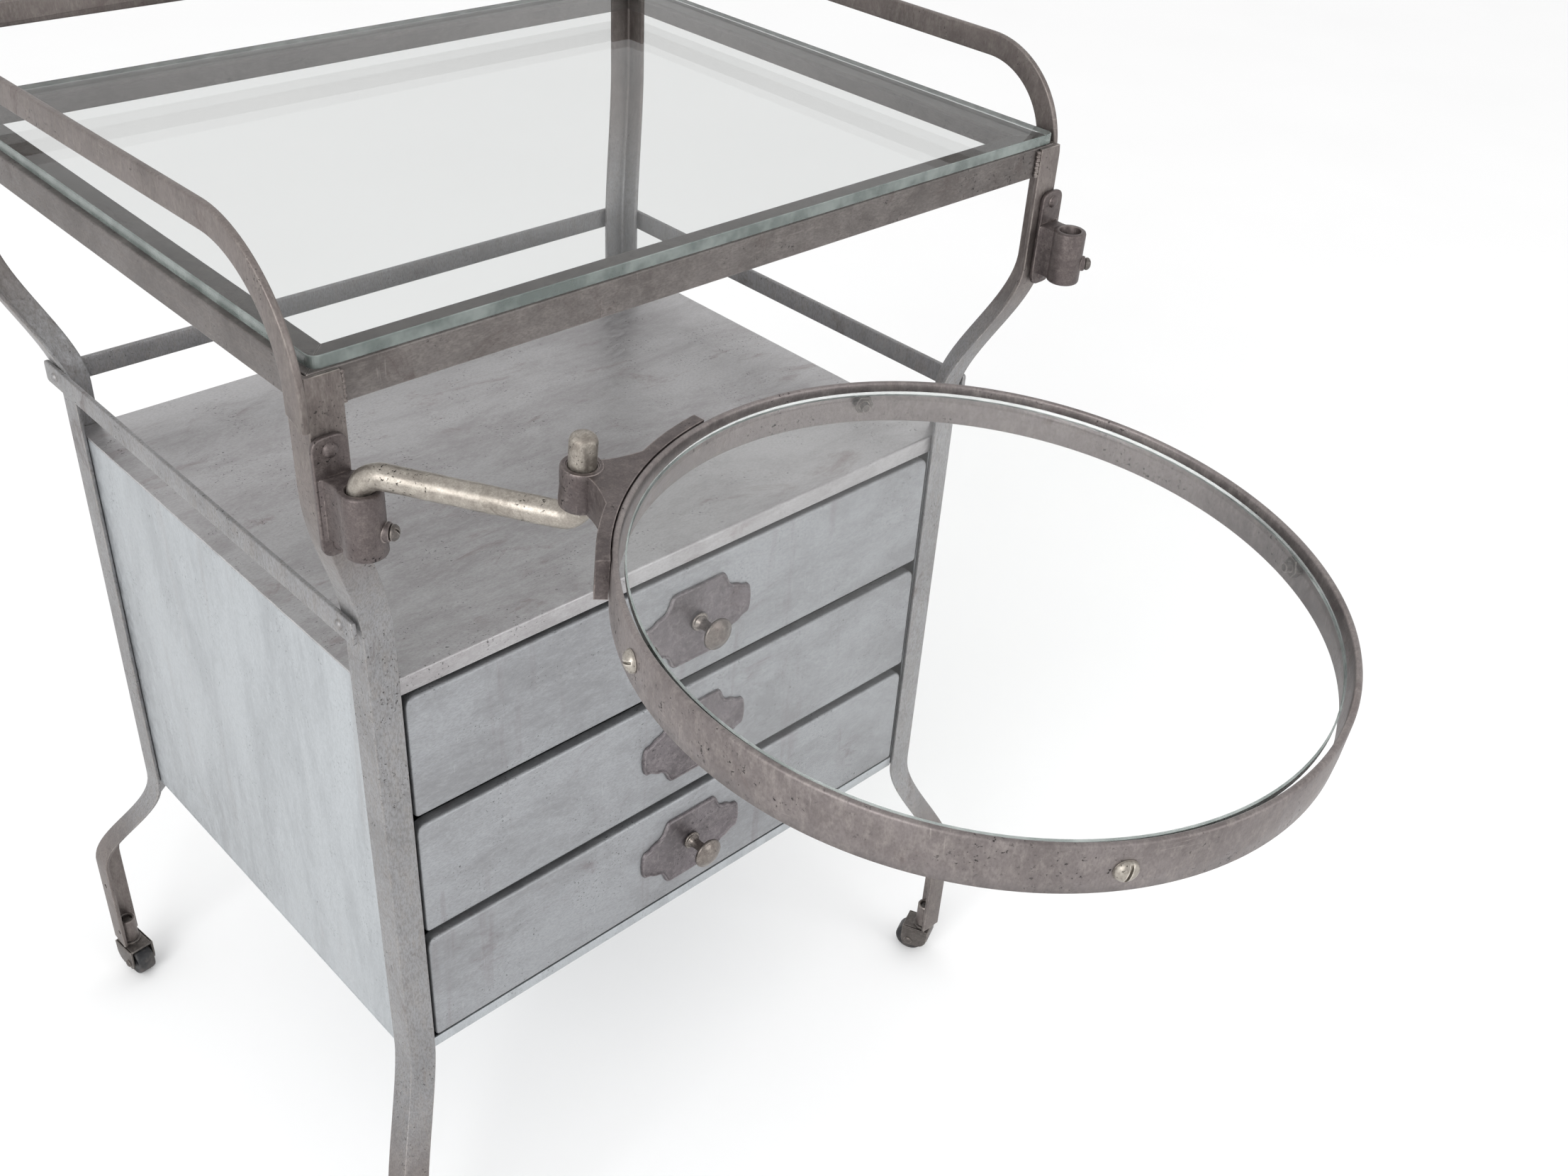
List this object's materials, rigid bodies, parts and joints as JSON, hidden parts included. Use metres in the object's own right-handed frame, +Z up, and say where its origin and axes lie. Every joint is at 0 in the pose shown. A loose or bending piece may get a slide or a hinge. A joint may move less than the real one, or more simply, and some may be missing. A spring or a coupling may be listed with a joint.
{
  "type": "wheeled instrument cabinet table",
  "caption": "Angle-iron instrument table on casters: glass top with a gallery rail, sheet-metal drawer cabinet below, and a round glass tray on a swinging arm.",
  "frame": {"origin": "on the floor under the middle of the whole object, tray included", "axes": "+X to the right along the drawer fronts, +Y to the back, +Z up, towards the glass top"},
  "size_m": [0.5616, 0.8656, 0.794],
  "materials": {
    "frame_steel": "stripped angle iron, brown-grey, worn bright on its corners",
    "fitting_steel": "dark purple-grey steel fittings with rubbed rims",
    "lid_steel": "brown-grey sheet, pitted and specked",
    "cabinet_steel": "blue-grey stripped sheet, streaked",
    "drawer_steel": "blue-grey sheet with purple stains and pits",
    "plate_steel": "dark pressed sheet",
    "knob_steel": "turned steel, dark with bright domes",
    "nickel": "worn nickel plate with black pits",
    "plate_glass": "clear plate glass with dull green edges",
    "caster_steel": "dull pressed steel",
    "wheel_rubber": "dark hard rubber, dusty"
  },
  "bodies": {
    "frame": {"leg_front_left": "frame_steel", "leg_front_right": "frame_steel", "leg_back_right": "frame_steel", "leg_back_left": "frame_steel", "top_rail_front": "frame_steel", "top_rail_right": "frame_steel", "top_rail_back": "frame_steel", "top_rail_left": "frame_steel", "gallery_left": "frame_steel", "gallery_right": "frame_steel", "gallery_back": "frame_steel", "guard_left": "frame_steel", "guard_right": "frame_steel", "guard_back": "frame_steel", "cabinet_top": "lid_steel", "cabinet_side_left": "cabinet_steel", "cabinet_side_right": "cabinet_steel", "cabinet_back": "cabinet_steel", "cabinet_floor": "cabinet_steel", "runner_1_left": "cabinet_steel", "runner_1_right": "cabinet_steel", "runner_2_left": "cabinet_steel", "runner_2_right": "cabinet_steel", "runner_3_left": "cabinet_steel", "runner_3_right": "cabinet_steel", "socket_left": "fitting_steel", "socket_right": "fitting_steel"},
    "drawer_1": {"drawer_1_box": "cabinet_steel", "drawer_1_front": "drawer_steel", "drawer_1_pull_plate": "plate_steel", "drawer_1_knob": "knob_steel"},
    "drawer_2": {"drawer_2_box": "cabinet_steel", "drawer_2_front": "drawer_steel", "drawer_2_pull_plate": "plate_steel", "drawer_2_knob": "knob_steel"},
    "drawer_3": {"drawer_3_box": "cabinet_steel", "drawer_3_front": "drawer_steel", "drawer_3_pull_plate": "plate_steel", "drawer_3_knob": "knob_steel"},
    "glass_plate": {"glass_top": "plate_glass"},
    "arm": {"swing_arm": "nickel"},
    "tray": {"tray_bracket": "fitting_steel", "tray_hoop": "fitting_steel", "tray_screw_1": "nickel", "tray_screw_2": "nickel", "tray_screw_3": "nickel", "tray_screw_4": "nickel"},
    "tray_plate": {"tray_glass": "plate_glass"},
    "left_screw": {"set_screw_left": "nickel"},
    "right_screw": {"set_screw_right": "nickel"},
    "swivel_front_left": {"caster_fork_front_left": "caster_steel"},
    "wheel_front_left": {"caster_wheel_front_left": "wheel_rubber"},
    "swivel_front_right": {"caster_fork_front_right": "caster_steel"},
    "wheel_front_right": {"caster_wheel_front_right": "wheel_rubber"},
    "swivel_back_right": {"caster_fork_back_right": "caster_steel"},
    "wheel_back_right": {"caster_wheel_back_right": "wheel_rubber"},
    "swivel_back_left": {"caster_fork_back_left": "caster_steel"},
    "wheel_back_left": {"caster_wheel_back_left": "wheel_rubber"}
  },
  "joints": [
    {"name": "drawer_1_slide", "type": "slide", "parent": "frame", "child": "drawer_1", "axis": [0, -1, 0], "range_m": [0, 0.3]},
    {"name": "drawer_2_slide", "type": "slide", "parent": "frame", "child": "drawer_2", "axis": [0, -1, 0], "range_m": [0, 0.3]},
    {"name": "drawer_3_slide", "type": "slide", "parent": "frame", "child": "drawer_3", "axis": [0, -1, 0], "range_m": [0, 0.3]},
    {"name": "glass_top_lift", "type": "slide", "parent": "frame", "child": "glass_plate", "axis": [0, 0, 1], "range_m": [0, 0.12]},
    {"name": "arm_swing", "type": "hinge", "parent": "frame", "child": "arm", "pos_m": [-0.25423, -0.03863, 0.667], "axis": [0, 0, 1], "range_deg": [-110, 10]},
    {"name": "tray_swing", "type": "hinge", "parent": "arm", "child": "tray", "pos_m": [-0.1965, -0.12453, 0.689], "axis": [0.0121, -0.0722, 0.9973], "range_deg": [-70, 25]},
    {"name": "tray_glass_lift", "type": "slide", "parent": "tray", "child": "tray_plate", "axis": [0.0121, -0.0722, 0.9973], "range_m": [0, 0.1]},
    {"name": "left_screw_turn", "type": "hinge", "parent": "frame", "child": "left_screw", "pos_m": [-0.24652, -0.04782, 0.663], "axis": [0.6428, -0.766, 0], "range_deg": [0, 360]},
    {"name": "right_screw_turn", "type": "hinge", "parent": "frame", "child": "right_screw", "pos_m": [0.27088, -0.04782, 0.663], "axis": [0.6428, -0.766, 0], "range_deg": [0, 360]},
    {"name": "swivel_front_left", "type": "hinge", "parent": "frame", "child": "swivel_front_left", "pos_m": [-0.25913, -0.01143, 0.04], "axis": [0, 0, 1], "continuous": true},
    {"name": "roll_front_left", "type": "hinge", "parent": "swivel_front_left", "child": "wheel_front_left", "pos_m": [-0.26692, -0.01593, 0.0127], "axis": [0.5, -0.866, 0], "continuous": true},
    {"name": "swivel_front_right", "type": "hinge", "parent": "frame", "child": "swivel_front_right", "pos_m": [0.26147, -0.00843, 0.04], "axis": [0, 0, 1], "continuous": true},
    {"name": "roll_front_right", "type": "hinge", "parent": "swivel_front_right", "child": "wheel_front_right", "pos_m": [0.25795, -0.00014, 0.0127], "axis": [-0.9205, -0.3907, 0], "continuous": true},
    {"name": "swivel_back_right", "type": "hinge", "parent": "frame", "child": "swivel_back_right", "pos_m": [0.26447, 0.41117, 0.04], "axis": [0, 0, 1], "continuous": true},
    {"name": "roll_back_right", "type": "hinge", "parent": "swivel_back_right", "child": "wheel_back_right", "pos_m": [0.26897, 0.41897, 0.0127], "axis": [-0.866, 0.5, 0], "continuous": true},
    {"name": "swivel_back_left", "type": "hinge", "parent": "frame", "child": "swivel_back_left", "pos_m": [-0.26413, 0.41617, 0.04], "axis": [0, 0, 1], "continuous": true},
    {"name": "roll_back_left", "type": "hinge", "parent": "swivel_back_left", "child": "wheel_back_left", "pos_m": [-0.26319, 0.40722, 0.0127], "axis": [0.9945, 0.1045, 0], "continuous": true}
  ]
}
